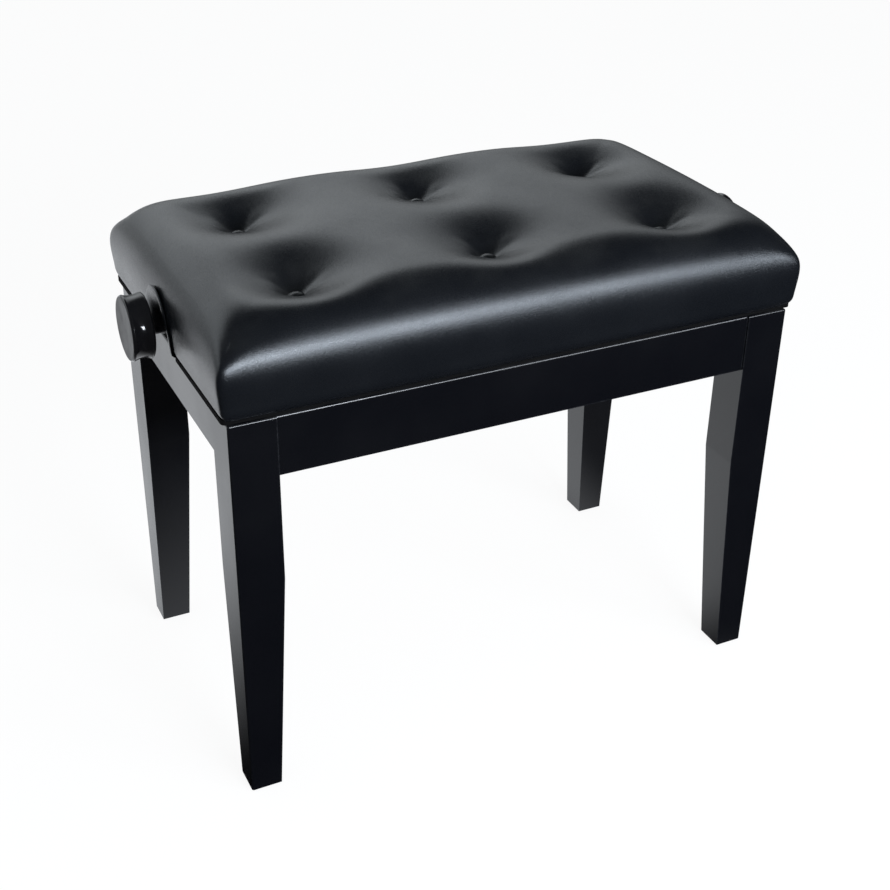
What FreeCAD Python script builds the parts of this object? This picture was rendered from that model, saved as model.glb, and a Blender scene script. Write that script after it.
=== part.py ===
import FreeCAD, Part

import math
import os

# Height-adjustable piano bench. Millimetres, +Z up, +X along the seat's length,
# origin on the floor under the middle of the base.

# ---- base frame ----
base_length = 560.0
base_width = 325.0
base_height = 397.0
leg_top = 43.0
leg_foot = 29.5
taper_start = 235.0
front_apron_height = 57.5
side_apron_height = 48.5
apron_thickness = 18.0
apron_setback = 2.0
arris_radius = 3.0
leg_arris_radius = 2.0
dowel_radius = 4.0
dowel_length = 36.0
dowel_spacing = 24.0
glue_gap = 0.05
glide_radius = 11.0
glide_thickness = 2.0
glide_pin_radius = 1.3
glide_pin_length = 14.0
block_reach = 42.0
block_height = 32.0
block_gap = 0.2
corner_bolt_radius = 3.0
corner_bolt_length = 46.0
corner_nut_flats = 10.0
corner_nut_thickness = 5.0
corner_washer_radius = 9.0
corner_washer_thickness = 1.6
corner_bolt_proud = 2.0
corner_bolt_end_gap = 0.5
pad_radius = 8.0
pad_thickness = 2.6
pad_inset = 19.0

# ---- lift mechanism ----
steel = 3.0
cleat_thickness = 18.0
cleat_height = 18.0
cleat_end_gap = 1.0
cleat_screw_length = 28.0
cleat_screw_drop = 3.0
cleat_screw_margin = 40.0
rail_leaf = 25.0
lower_flange_height = 40.0
upper_flange_height = 24.0
upper_leaf = 20.0
flange_end = 4.0
flange_edge = 1.0
leaf_end_gap = 1.0
lower_pivot_height = 17.0
pivot_rise = 16.0
seat_lift = 80.0
inner_pivot_x = 30.0
pivot_leg_gap = 0.5
arm_width = 18.0
arm_gap = 1.0
rail_gap = 3.0
pin_radius = 4.0
running_gap = 0.05
slide_gap = 0.1
slot_end_gap = 1.5
pin_head_radius = 6.5
pin_head = 2.5
pin_proud = 0.4
trunnion_radius = 5.0
crossbar_radius = 9.0
crossbar_side_gap = 2.0
clip_radius = 8.0
clip_thickness = 1.1
clip_groove = 0.8
clip_side_gap = 0.4
clip_fit = 0.05
clip_mouth = 3.0
trunnion_end = 0.6
spindle_radius = 6.0
spindle_end_radius = 5.0
stop_tube_radius = 8.5
stop_tube_gap = 0.5
wood_screw_radius = 2.0
wood_screw_head = 3.8
wood_screw_head_height = 2.0
rail_screw_length = 14.0
rail_screw_margin = 20.0
screw_tip_gap = 0.5

# ---- knobs ----
knob_radius = 30.0
knob_thickness = 20.5
knob_stand_off = 38.5
knob_waist = 1.6
knob_edge_radius = 2.5
knob_dish = 1.2
knob_neck_radius = 9.5
knob_neck_length = 25.0
knob_wall = 6.0
grub_radius = 2.0
grub_length = 4.0
grub_gap = 0.1

# ---- seat ----
seat_overhang_x = 7.0
seat_overhang_y = 6.0
seat_gap = 3.0
leather = 1.5
soft_gap = 0.2
side_padding = 6.5
lip_width = 27.0
seat_rail_thickness = 18.0
seat_rail_height = 43.3
board_thickness = 9.0
board_corner = 12.0
cushion_height = 83.5
crown_radius = 4500.0
edge_roll = 10.0
cushion_corner = 12.0
notch_radius = 20.0
button_radius = 9.0
button_height = 4.0
button_rim = 1.0
button_inset_x = 102.0
button_inset_y = 91.5
dimple_depth = 18.0
dimple_radius = 32.0
button_seat_gap = 0.3
tie_radius = 0.8
tie_gap = 0.3
toggle_radius = 5.5
toggle_thickness = 2.5
toggle_gap = 0.3
toggle_hole_gap = 0.1
board_screw_length = 24.0
board_screw_margin = 40.0
end_screw_y = 88.0
board_screw_skin = 2.0

# ---- how far a cut runs on past the face it opens ----
overcut = 1.0

# ---- places that follow from the sizes above ----
half_x = base_length / 2
half_y = base_width / 2
apron_in_x = half_x - apron_setback - apron_thickness
apron_in_y = half_y - apron_setback - apron_thickness
leg_in_x = half_x - leg_top
leg_in_y = half_y - leg_top

lower_flange_y = leg_in_y - pin_head - steel
arm_a_y = lower_flange_y - rail_gap - steel
arm_b_y = arm_a_y - arm_gap - steel
upper_flange_y = arm_b_y - arm_gap - steel
crossbar_half = upper_flange_y - crossbar_side_gap

lower_pivot_z = base_height + lower_pivot_height
upper_pivot_z = lower_pivot_z + pivot_rise
spindle_z = lower_pivot_z + pivot_rise / 2
outer_pivot_x = leg_in_x - pin_head_radius - pivot_leg_gap
arm_span = outer_pivot_x - inner_pivot_x
arm_length = math.hypot(arm_span, pivot_rise)
raised_span = math.sqrt(arm_length ** 2 - (pivot_rise + seat_lift) ** 2)
inner_travel = arm_span - raised_span
centre_x = (outer_pivot_x + inner_pivot_x) / 2
centre_travel = inner_travel / 2

lower_flange_top = lower_pivot_z + arm_width / 2 + flange_edge
lower_leaf_z = lower_flange_top - lower_flange_height

cushion_top = base_height + cushion_height + overcut
cover_x = half_x + seat_overhang_x
cover_y = half_y + seat_overhang_y
seat_bottom = base_height + seat_gap
rail_bottom = seat_bottom + leather + soft_gap
rail_top = rail_bottom + seat_rail_height
board_top = rail_top + board_thickness
padding_inset = leather + soft_gap
frame_inset = padding_inset + side_padding + soft_gap
frame_x = cover_x - frame_inset
frame_y = cover_y - frame_inset
knob_face_x = half_x + knob_stand_off
knob_back_x = knob_face_x - knob_thickness

front_back = (("front", -1), ("back", 1))
left_right = (("left", -1), ("right", 1))


def save(shape, name):
    shape.exportStep("parts/" + name + ".step")


def box(x0, x1, y0, y1, z0, z1):
    corner = FreeCAD.Vector(min(x0, x1), min(y0, y1), min(z0, z1))
    return Part.makeBox(abs(x1 - x0), abs(y1 - y0), abs(z1 - z0), corner)


def rod(radius, start, end):
    start = FreeCAD.Vector(*start)
    along = FreeCAD.Vector(*end) - start
    return Part.makeCylinder(radius, along.Length, start, along)


def group(solids):
    return Part.makeCompound(solids)


def edges_at(shape, test):
    return [edge for edge in shape.Edges if test(edge)]


def lies_on(edge, axis, value):
    box_of_edge = edge.BoundBox
    low = getattr(box_of_edge, axis + "Min")
    high = getattr(box_of_edge, axis + "Max")
    return abs(low - value) < 1e-4 and abs(high - value) < 1e-4


# ---- base frame ----
def dowel_heights(apron_height):
    middle = base_height - apron_height / 2
    return (middle - dowel_spacing / 2, middle + dowel_spacing / 2)


def dowels(extra=0.0):
    """Four pairs along X for the long aprons and four pairs along Y for the short ones."""
    pins = []
    half = dowel_length / 2
    long_y = half_y - apron_setback - apron_thickness / 2
    short_x = half_x - apron_setback - apron_thickness / 2
    for x_side in (-1, 1):
        for y_side in (-1, 1):
            for z in dowel_heights(front_apron_height):
                start = (x_side * (leg_in_x - half - extra), y_side * long_y, z)
                end = (x_side * (leg_in_x + half + extra), y_side * long_y, z)
                pins.append(rod(dowel_radius + extra, start, end))
            for z in dowel_heights(side_apron_height):
                start = (x_side * short_x, y_side * (leg_in_y - half - extra), z)
                end = (x_side * short_x, y_side * (leg_in_y + half + extra), z)
                pins.append(rod(dowel_radius + extra, start, end))
    return pins


def corner_bolt_ends(x_side, y_side):
    """The bolt runs at 45 degrees through the block into the leg's inner arris."""
    z = base_height - side_apron_height + block_height / 2
    outward = (x_side * math.sqrt(0.5), y_side * math.sqrt(0.5))
    inner = corner_block_thickness() + corner_washer_thickness + corner_nut_thickness + corner_bolt_proud
    start = (x_side * leg_in_x - inner * outward[0], y_side * leg_in_y - inner * outward[1], z)
    reach = corner_bolt_length
    end = (start[0] + reach * outward[0], start[1] + reach * outward[1], z)
    return start, end


def corner_block_thickness():
    """From the leg's inner arris to the block's diagonal face."""
    y_gap = apron_in_y - leg_in_y
    return (block_reach - y_gap + 2 * block_gap) * math.sqrt(0.5)


def leg(x_side, y_side):
    outer = (x_side * half_x, y_side * half_y)
    upper = box(outer[0], outer[0] - x_side * leg_top, outer[1], outer[1] - y_side * leg_top,
                taper_start, base_height)
    sections = []
    for width, z in ((leg_foot, glide_thickness), (leg_top, taper_start)):
        x1 = outer[0] - x_side * width
        y1 = outer[1] - y_side * width
        points = [(outer[0], outer[1], z), (x1, outer[1], z), (x1, y1, z), (outer[0], y1, z)]
        sections.append(Part.makePolygon([FreeCAD.Vector(*p) for p in points + points[:1]]))
    body = upper.fuse(Part.makeLoft(sections, True, True)).removeSplitter()
    outer_arris = edges_at(body, lambda e: lies_on(e, "X", outer[0]) and lies_on(e, "Y", outer[1]))
    body = body.makeFillet(leg_arris_radius, outer_arris)
    top_arris = edges_at(body, lambda e: lies_on(e, "Z", base_height)
                         and (lies_on(e, "X", outer[0]) or lies_on(e, "Y", outer[1])))
    body = body.makeFillet(leg_arris_radius, top_arris)
    body = body.cut(group(dowels(glue_gap)))
    start, end = corner_bolt_ends(x_side, y_side)
    body = body.cut(rod(corner_bolt_radius + glue_gap, start, end))
    centre = foot_centre(x_side, y_side)
    pin_top = glide_thickness + glide_pin_length + glue_gap
    return body.cut(rod(glide_pin_radius + glue_gap, (*centre, 0), (*centre, pin_top)))


def foot_centre(x_side, y_side):
    return (x_side * (half_x - leg_foot / 2), y_side * (half_y - leg_foot / 2))


def long_apron(side):
    outer = side * (half_y - apron_setback)
    body = box(-leg_in_x, leg_in_x, outer, outer - side * apron_thickness,
               base_height - front_apron_height, base_height)
    arris = edges_at(body, lambda e: lies_on(e, "Z", base_height) and lies_on(e, "Y", outer))
    return body.makeFillet(arris_radius, arris).cut(group(dowels(glue_gap)))


def short_apron(side):
    outer = side * (half_x - apron_setback)
    body = box(outer, outer - side * apron_thickness, -leg_in_y, leg_in_y,
               base_height - side_apron_height, base_height)
    arris = edges_at(body, lambda e: lies_on(e, "Z", base_height) and lies_on(e, "X", outer))
    return body.makeFillet(arris_radius, arris).cut(group(dowels(glue_gap)))


def corner_block(x_side, y_side):
    x0 = apron_in_x - block_gap
    y0 = apron_in_y - block_gap
    leg_x = leg_in_x - block_gap
    leg_y = leg_in_y - block_gap
    outline = [(leg_x - block_reach, y0), (leg_x, y0), (leg_x, leg_y), (x0, leg_y),
               (x0, y0 - (x0 - leg_x + block_reach))]
    z = base_height - side_apron_height
    points = [FreeCAD.Vector(x_side * x, y_side * y, z) for x, y in outline]
    face = Part.Face(Part.makePolygon(points + points[:1]))
    body = face.extrude(FreeCAD.Vector(0, 0, block_height))
    start, end = corner_bolt_ends(x_side, y_side)
    return body.cut(rod(corner_bolt_radius + glue_gap, start, end))


def hex_nut(radius, flats, thickness, start, direction):
    corner = flats / math.sqrt(3)
    points = []
    for i in range(7):
        angle = math.radians(60 * i)
        points.append(FreeCAD.Vector(corner * math.cos(angle), corner * math.sin(angle), 0))
    nut = Part.Face(Part.makePolygon(points)).extrude(FreeCAD.Vector(0, 0, thickness))
    nut = nut.cut(Part.makeCylinder(radius, thickness))
    turn = FreeCAD.Rotation(FreeCAD.Vector(0, 0, 1), direction)
    nut.Placement = FreeCAD.Placement(start, turn)
    return nut


def corner_bolts():
    """Each corner has one hanger bolt, one washer and one nut on the block's diagonal face."""
    pieces = []
    for x_side in (-1, 1):
        for y_side in (-1, 1):
            start, end = corner_bolt_ends(x_side, y_side)
            start = FreeCAD.Vector(*start)
            along = (FreeCAD.Vector(*end) - start).normalize()
            length = corner_bolt_length - corner_bolt_end_gap
            pieces.append(Part.makeCylinder(corner_bolt_radius, length, start, along))
            nut_at = start + along * corner_bolt_proud
            hole = corner_bolt_radius + glue_gap
            pieces.append(hex_nut(hole, corner_nut_flats, corner_nut_thickness, nut_at, along))
            washer_at = nut_at + along * corner_nut_thickness
            thick = corner_washer_thickness
            washer = Part.makeCylinder(corner_washer_radius, thick, washer_at, along)
            pieces.append(washer.cut(Part.makeCylinder(hole, thick, washer_at, along)))
    return pieces


def foot_glides():
    glides = []
    for x_side in (-1, 1):
        for y_side in (-1, 1):
            x, y = foot_centre(x_side, y_side)
            disc = rod(glide_radius, (x, y, 0), (x, y, glide_thickness))
            pin = rod(glide_pin_radius, (x, y, 0), (x, y, glide_thickness + glide_pin_length))
            glides.append(disc.fuse(pin))
    return glides


def rest_pads():
    pads = []
    for x in (-half_x + pad_inset, half_x - pad_inset):
        for y in (-half_y + pad_inset, half_y - pad_inset):
            pads.append(rod(pad_radius, (x, y, base_height), (x, y, base_height + pad_thickness)))
    return pads


# ---- lift mechanism: rails ----
def spaced(half, count):
    step = 2 * half / (count - 1)
    return [-half + i * step for i in range(count)]


def cleat_half():
    return leg_in_x - block_reach - cleat_end_gap


def lower_screw_places():
    y = apron_in_y - cleat_thickness / 2
    return [(x, y) for x in spaced(cleat_half() - rail_screw_margin, 4)]


def cleat(side):
    body = box(-cleat_half(), cleat_half(), side * apron_in_y, side * (apron_in_y - cleat_thickness),
               lower_leaf_z - cleat_height, lower_leaf_z)
    for x, y in lower_screw_places():
        foot = lower_leaf_z - rail_screw_length
        body = body.cut(rod(wood_screw_radius + glue_gap, (x, side * y, foot), (x, side * y, lower_leaf_z)))
    for x in cleat_screw_places():
        body = body.cut(cleat_screw(x, side, glue_gap))
    return body


def cleat_screw_places():
    return spaced(cleat_half() - cleat_screw_margin, 3)


def cleat_screw(x, side, extra=0.0):
    z = lower_leaf_z - cleat_height / 2 - cleat_screw_drop
    start = apron_in_y - cleat_thickness
    tip = start + cleat_screw_length
    head_end = start + wood_screw_head_height
    shank = rod(wood_screw_radius + extra, (x, side * start, z), (x, side * tip, z))
    head = rod(wood_screw_head + extra, (x, side * start, z), (x, side * head_end, z))
    return shank.fuse(head)


def cleat_screws():
    screws = []
    for name, side in front_back:
        for x in cleat_screw_places():
            screws.append(cleat_screw(x, side))
    return screws


def drilled_apron(side):
    body = long_apron(side)
    for x in cleat_screw_places():
        body = body.cut(cleat_screw(x, side, glue_gap))
    return body


def slot(side, y0, x_start, x_end, z):
    """A slot along X, through a flange that starts at y0, for one sliding pin at each end."""
    r = pin_radius + slide_gap
    body = box(x_start, x_end, y0, y0 + side * steel, z - r, z + r)
    for x in (x_start, x_end):
        body = body.fuse(rod(r, (x, y0, z), (x, y0 + side * steel, z)))
    return body


def flange_cuts(side, y0, pivot_z, slot_z):
    cuts = []
    for x_side in (-1, 1):
        x = x_side * outer_pivot_x
        hole = pin_radius + glue_gap
        cuts.append(rod(hole, (x, y0, pivot_z), (x, y0 + side * steel, pivot_z)))
        start = x_side * (inner_pivot_x - slot_end_gap)
        end = x_side * (inner_pivot_x + inner_travel + slot_end_gap)
        cuts.append(slot(side, y0, start, end, slot_z))
    return cuts


def lower_rail(side):
    y0 = side * lower_flange_y
    flange_half = outer_pivot_x + arm_width / 2 + flange_end
    leaf_half = leg_in_x - leaf_end_gap
    flange = box(-flange_half, flange_half, y0, y0 + side * steel, lower_leaf_z, lower_flange_top)
    leaf = box(-leaf_half, leaf_half, y0, y0 + side * rail_leaf, lower_leaf_z, lower_leaf_z + steel)
    body = flange.fuse(leaf).removeSplitter()
    body = body.cut(group(flange_cuts(side, y0, lower_pivot_z, lower_pivot_z)))
    for x, y in lower_screw_places():
        top = lower_leaf_z + steel
        body = body.cut(rod(wood_screw_radius + glue_gap, (x, side * y, lower_leaf_z), (x, side * y, top)))
    return body


def lower_rail_screws():
    screws = []
    for name, side in front_back:
        for x, y in lower_screw_places():
            top = lower_leaf_z + steel
            tip = lower_leaf_z - rail_screw_length + screw_tip_gap
            shank = rod(wood_screw_radius, (x, side * y, tip), (x, side * y, top))
            head = rod(wood_screw_head, (x, side * y, top), (x, side * y, top + wood_screw_head_height))
            screws.append(shank.fuse(head))
    return screws


def upper_screw_places():
    """Two screws in each half of the rail; the middle is left free."""
    y = upper_flange_y + steel - upper_leaf / 2
    places = spaced(outer_pivot_x - rail_screw_margin, 5)
    return [(x, y) for x in places[:2] + places[3:]]


def crossbar_notch(side, x_side, y0):
    """Room in the upper flange for the trunnion, which moves out and down against the seat."""
    room = trunnion_radius + slot_end_gap
    inner = x_side * (centre_x - room)
    outer = x_side * (centre_x + centre_travel + room)
    bottom = rail_top - upper_flange_height - overcut
    return box(inner, outer, y0, y0 + side * steel, bottom, spindle_z + room)


def upper_rail(side):
    y0 = side * upper_flange_y
    half = outer_pivot_x + arm_width / 2 + flange_end
    bottom = rail_top - upper_flange_height
    flange = box(-half, half, y0, y0 + side * steel, bottom, rail_top)
    inner = side * (upper_flange_y + steel - upper_leaf)
    leaf = box(-half, half, inner, y0 + side * steel, rail_top - steel, rail_top)
    body = flange.fuse(leaf).removeSplitter()
    body = body.cut(group(flange_cuts(side, y0, upper_pivot_z, upper_pivot_z)))
    for x_side in (-1, 1):
        body = body.cut(crossbar_notch(side, x_side, y0))
    for x, y in upper_screw_places():
        under = rail_top - steel
        body = body.cut(rod(wood_screw_radius + glue_gap, (x, side * y, under), (x, side * y, rail_top)))
    for x, y in button_places():
        low = rail_top - steel - toggle_gap
        body = body.cut(rod(toggle_radius + toggle_gap, (x, y, low), (x, y, rail_top)))
    return body


def upper_rail_screws():
    screws = []
    for name, side in front_back:
        for x, y in upper_screw_places():
            under = rail_top - steel
            tip = rail_top + board_thickness - board_screw_skin
            shank = rod(wood_screw_radius, (x, side * y, under), (x, side * y, tip))
            head = rod(wood_screw_head, (x, side * y, under - wood_screw_head_height), (x, side * y, under))
            screws.append(shank.fuse(head))
    return screws


# ---- lift mechanism: arms, pins, crossbars ----
def arm(x_side, y_side, layer_y, outer_z, inner_z):
    """A flat bar with round ends from its outer pivot to its inner pin, drilled in three places."""
    y0 = y_side * layer_y
    thick = FreeCAD.Vector(0, y_side * steel, 0)
    outer = FreeCAD.Vector(x_side * outer_pivot_x, y0, outer_z)
    inner = FreeCAD.Vector(x_side * inner_pivot_x, y0, inner_z)
    along = (inner - outer).normalize()
    across = FreeCAD.Vector(-along.z, 0, along.x) * (arm_width / 2)
    far = inner + along * (arm_width / 2)
    near = outer - along * (arm_width / 2)
    edges = [
        Part.LineSegment(outer + across, inner + across).toShape(),
        Part.Arc(inner + across, far, inner - across).toShape(),
        Part.LineSegment(inner - across, outer - across).toShape(),
        Part.Arc(outer - across, near, outer + across).toShape(),
    ]
    body = Part.Face(Part.Wire(edges)).extrude(thick)
    for point, radius in ((outer, pin_radius + running_gap), (inner, pin_radius + glue_gap),
                          ((outer + inner) / 2, trunnion_radius + running_gap)):
        body = body.cut(Part.makeCylinder(radius, steel, point, thick))
    return body


def pin(x, z, y_side, y_tip, y_head, head_side):
    """A stud from its peened tip to its head; the head stands on the head_side of y_head."""
    tip = (x, y_side * y_tip, z)
    shoulder = (x, y_side * y_head, z)
    end = (x, y_side * (y_head + head_side * pin_head), z)
    return rod(pin_radius, tip, shoulder).fuse(rod(pin_head_radius, shoulder, end))


def lower_pivot_pins():
    pins = []
    for x_side in (-1, 1):
        for y_side in (-1, 1):
            x = x_side * outer_pivot_x
            pins.append(pin(x, lower_pivot_z, y_side, arm_a_y - pin_proud, lower_flange_y + steel, 1))
    return pins


def upper_pivot_pins():
    pins = []
    for x_side in (-1, 1):
        for y_side in (-1, 1):
            x = x_side * outer_pivot_x
            pins.append(pin(x, upper_pivot_z, y_side, arm_b_y + steel + pin_proud, upper_flange_y, -1))
    return pins


def sliding_pins_a(x_side):
    """Riveted in the inner ends of the A arms; their heads run inside the upper rails."""
    x = x_side * inner_pivot_x
    head = upper_flange_y - slide_gap
    return [pin(x, upper_pivot_z, side, arm_a_y + steel + pin_proud, head, -1) for side in (-1, 1)]


def sliding_pins_b(x_side):
    """Riveted in the inner ends of the B arms; their heads run outside the lower rails."""
    x = x_side * inner_pivot_x
    head = lower_flange_y + steel + slide_gap
    return [pin(x, lower_pivot_z, side, arm_b_y - pin_proud, head, 1) for side in (-1, 1)]


def clip_start():
    return arm_a_y + steel + clip_side_gap


def crossbar(x_side):
    x = x_side * centre_x
    end = clip_start() + clip_thickness + trunnion_end
    body = rod(crossbar_radius, (x, -crossbar_half, spindle_z), (x, crossbar_half, spindle_z))
    body = body.fuse(rod(trunnion_radius, (x, -end, spindle_z), (x, end, spindle_z)))
    for side in (-1, 1):
        start = side * (clip_start() - clip_fit)
        stop = side * (clip_start() + clip_thickness + clip_fit)
        ring = rod(trunnion_radius + overcut, (x, start, spindle_z), (x, stop, spindle_z))
        core = rod(trunnion_radius - clip_groove, (x, start, spindle_z), (x, stop, spindle_z))
        body = body.cut(ring.cut(core))
    reach = crossbar_radius + overcut
    thread = rod(spindle_radius + running_gap, (x - reach, 0, spindle_z), (x + reach, 0, spindle_z))
    return body.cut(thread)


def crossbar_clips(x_side):
    x = x_side * centre_x
    clips = []
    for side in (-1, 1):
        start = (x, side * clip_start(), spindle_z)
        stop = (x, side * (clip_start() + clip_thickness), spindle_z)
        ring = rod(clip_radius, start, stop)
        hole = rod(trunnion_radius - clip_groove + clip_fit, start, stop)
        low = spindle_z - clip_radius - overcut
        mouth = box(x - clip_mouth, x + clip_mouth, start[1], stop[1], low, spindle_z)
        clips.append(ring.cut(hole).cut(mouth))
    return clips


def stop_tube():
    """Loose on the middle of the spindle; the crossbars meet its ends in the lowest position."""
    half = centre_x - crossbar_radius - stop_tube_gap
    outer = rod(stop_tube_radius, (-half, 0, spindle_z), (half, 0, spindle_z))
    return outer.cut(rod(spindle_radius + running_gap, (-half, 0, spindle_z), (half, 0, spindle_z)))


def spindle():
    threaded = centre_x + centre_travel + 2 * crossbar_radius
    end = knob_face_x - knob_wall
    body = rod(spindle_radius, (-threaded, 0, spindle_z), (threaded, 0, spindle_z))
    return body.fuse(rod(spindle_end_radius, (-end, 0, spindle_z), (end, 0, spindle_z)))


# ---- knobs ----
def knob(x_side):
    """A turned knob: dished outer face, waisted rim, and a neck that runs in to the seat."""
    edge = knob_edge_radius
    rim = knob_radius
    waist = knob_radius - knob_waist
    back = knob_thickness
    neck_end = knob_thickness + knob_neck_length
    dish_reach = rim - edge

    def at(depth, radius):
        return FreeCAD.Vector(x_side * (knob_face_x - depth), 0, spindle_z + radius)

    diagonal = edge * (1 - math.sqrt(0.5))
    hub = spindle_end_radius + running_gap
    edges = [
        Part.Arc(at(knob_dish, 0), at(knob_dish * 3 / 4, dish_reach / 2), at(0, dish_reach)).toShape(),
        Part.Arc(at(0, dish_reach), at(diagonal, rim - diagonal), at(edge, rim)).toShape(),
        Part.Arc(at(edge, rim), at(back / 2, waist), at(back - edge, rim)).toShape(),
        Part.Arc(at(back - edge, rim), at(back - diagonal, rim - diagonal), at(back, rim - edge)).toShape(),
        Part.LineSegment(at(back, rim - edge), at(back, knob_neck_radius)).toShape(),
        Part.LineSegment(at(back, knob_neck_radius), at(neck_end, knob_neck_radius)).toShape(),
        Part.LineSegment(at(neck_end, knob_neck_radius), at(neck_end, hub)).toShape(),
        Part.LineSegment(at(neck_end, hub), at(knob_wall, hub)).toShape(),
        Part.LineSegment(at(knob_wall, hub), at(knob_wall, 0)).toShape(),
        Part.LineSegment(at(knob_wall, 0), at(knob_dish, 0)).toShape(),
    ]
    face = Part.Face(Part.Wire(edges))
    centre = FreeCAD.Vector(0, 0, spindle_z)
    body = face.revolve(centre, FreeCAD.Vector(1, 0, 0), 360)
    return body.cut(grub_screw(x_side, glue_gap))


def grub_screw(x_side, extra=0.0):
    """Radial screw in the underside of the knob's neck, tight on the spindle."""
    x = x_side * (knob_back_x - knob_neck_length / 2)
    top = spindle_z - spindle_end_radius - grub_gap
    bottom = top - grub_length
    if extra:
        bottom = spindle_z - knob_neck_radius - overcut
        top = spindle_z
    return rod(grub_radius + extra, (x, 0, bottom), (x, 0, top))


# ---- seat ----
def button_places():
    """Three columns and two rows, set in from the seat's ends and sides."""
    x_end = cover_x - button_inset_x
    y_end = cover_y - button_inset_y
    return [(x, y) for x in (-x_end, 0, x_end) for y in (-y_end, y_end)]


def crown_height(x, y):
    """Height of the leather's domed top above the floor, away from its rolled edges."""
    centre_z = base_height + cushion_height - crown_radius
    return centre_z + math.sqrt(crown_radius ** 2 - x ** 2 - y ** 2)


def dimple_sphere(x, y, inset):
    """The hollow round one button; an inset makes it wider, for the layers underneath."""
    radius = (dimple_radius ** 2 + dimple_depth ** 2) / (2 * dimple_depth)
    bottom = crown_height(x, y) - dimple_depth
    return Part.makeSphere(radius + inset, FreeCAD.Vector(x, y, bottom + radius))


def cushion_block(inset, bottom):
    """The cushion's outline, pulled in by inset: domed top, rolled edges, dimples."""
    x = cover_x - inset
    y = cover_y - inset
    body = box(-x, x, -y, y, bottom, cushion_top)
    upright = edges_at(body, lambda e: lies_on(e, "X", e.BoundBox.XMin) and lies_on(e, "Y", e.BoundBox.YMin))
    body = body.makeFillet(cushion_corner - inset, upright)
    dome_centre = FreeCAD.Vector(0, 0, base_height + cushion_height - crown_radius)
    body = body.common(Part.makeSphere(crown_radius - inset, dome_centre))
    top = edges_at(body, lambda e: e.BoundBox.ZMin > board_top)
    body = body.makeFillet(edge_roll - inset, top)
    for x, y in button_places():
        body = body.cut(dimple_sphere(x, y, inset))
    return body


def end_notch(radius, x_side, depth, bottom):
    """An arch open at the bottom, cut into the seat's end for the knob's neck."""
    outer = x_side * (cover_x + overcut)
    inner = x_side * (cover_x - depth)
    arch = rod(radius, (outer, 0, spindle_z), (inner, 0, spindle_z))
    return arch.fuse(box(outer, inner, -radius, radius, bottom, spindle_z))


def leather_cover():
    """One skin over the top and sides, turned in under the rails and into the end notches."""
    low = seat_bottom - overcut
    outer = cushion_block(0, seat_bottom)
    inner = cushion_block(leather, rail_bottom - soft_gap)
    body = outer.cut(inner)
    opening_x = cover_x - lip_width
    opening_y = cover_y - lip_width
    body = body.cut(box(-opening_x, opening_x, -opening_y, opening_y, low, rail_bottom))
    depth = frame_inset + seat_rail_thickness
    for name, x_side in left_right:
        body = body.cut(end_notch(notch_radius - soft_gap, x_side, lip_width + overcut, low))
        lining = end_notch(notch_radius - soft_gap, x_side, depth, seat_bottom)
        lining = lining.cut(end_notch(notch_radius - soft_gap - leather, x_side, depth, low))
        beyond = x_side * (cover_x + 2 * overcut)
        lining = lining.cut(box(x_side * cover_x, beyond, -half_y, half_y, low, board_top))
        body = body.fuse(lining)
    for x, y in button_places():
        body = body.cut(rod(tie_radius + tie_gap, (x, y, board_top), (x, y, cushion_top)))
    return body.removeSplitter()


def foam_pad():
    inset = leather + soft_gap
    body = cushion_block(inset, rail_bottom)
    body = body.cut(box(-cover_x, cover_x, -cover_y, cover_y, rail_bottom - overcut, board_top))
    for x, y in button_places():
        body = body.cut(rod(tie_radius + tie_gap, (x, y, board_top - overcut), (x, y, cushion_top)))
    return body


def padding_strips():
    """Felt strips on the four sides of the seat frame, under the leather."""
    outer_x = cover_x - padding_inset
    outer_y = cover_y - padding_inset
    corner = cushion_corner - padding_inset
    top = board_top - soft_gap
    body = box(-outer_x, outer_x, -outer_y, outer_y, rail_bottom, top)
    upright = edges_at(body, lambda e: lies_on(e, "X", e.BoundBox.XMin) and lies_on(e, "Y", e.BoundBox.YMin))
    body = body.makeFillet(corner, upright)
    inner_x = frame_x + soft_gap
    inner_y = frame_y + soft_gap
    low = rail_bottom - overcut
    body = body.cut(box(-inner_x, inner_x, -inner_y, inner_y, low, top + overcut))
    for name, x_side in left_right:
        body = body.cut(end_notch(notch_radius, x_side, frame_inset, low))
    return body


def long_seat_rail(side):
    inner_y = frame_y - seat_rail_thickness
    return box(-frame_x, frame_x, side * frame_y, side * inner_y, rail_bottom, rail_top)


def short_seat_rail(side):
    inner_y = frame_y - seat_rail_thickness
    inner_x = frame_x - seat_rail_thickness
    body = box(side * frame_x, side * inner_x, -inner_y, inner_y, rail_bottom, rail_top)
    depth = frame_inset + seat_rail_thickness + overcut
    return body.cut(end_notch(notch_radius, side, depth, rail_bottom - overcut))


def board_screw_places():
    places = []
    y = frame_y - seat_rail_thickness / 2
    x_end = frame_x - seat_rail_thickness / 2
    for side in (-1, 1):
        places += [(x, side * y) for x in spaced(frame_x - board_screw_margin, 4)]
        places += [(side * x_end, offset) for offset in (-end_screw_y, end_screw_y)]
    return places


def board_screws(extra=0.0):
    screws = []
    for x, y in board_screw_places():
        tip = board_top - board_screw_length - extra
        shank = rod(wood_screw_radius + extra, (x, y, tip), (x, y, board_top))
        head_at = FreeCAD.Vector(x, y, board_top - wood_screw_head_height - extra)
        head = Part.makeCone(wood_screw_radius + extra, wood_screw_head + extra,
                             wood_screw_head_height + extra, head_at)
        screws.append(shank.fuse(head))
    return screws


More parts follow.
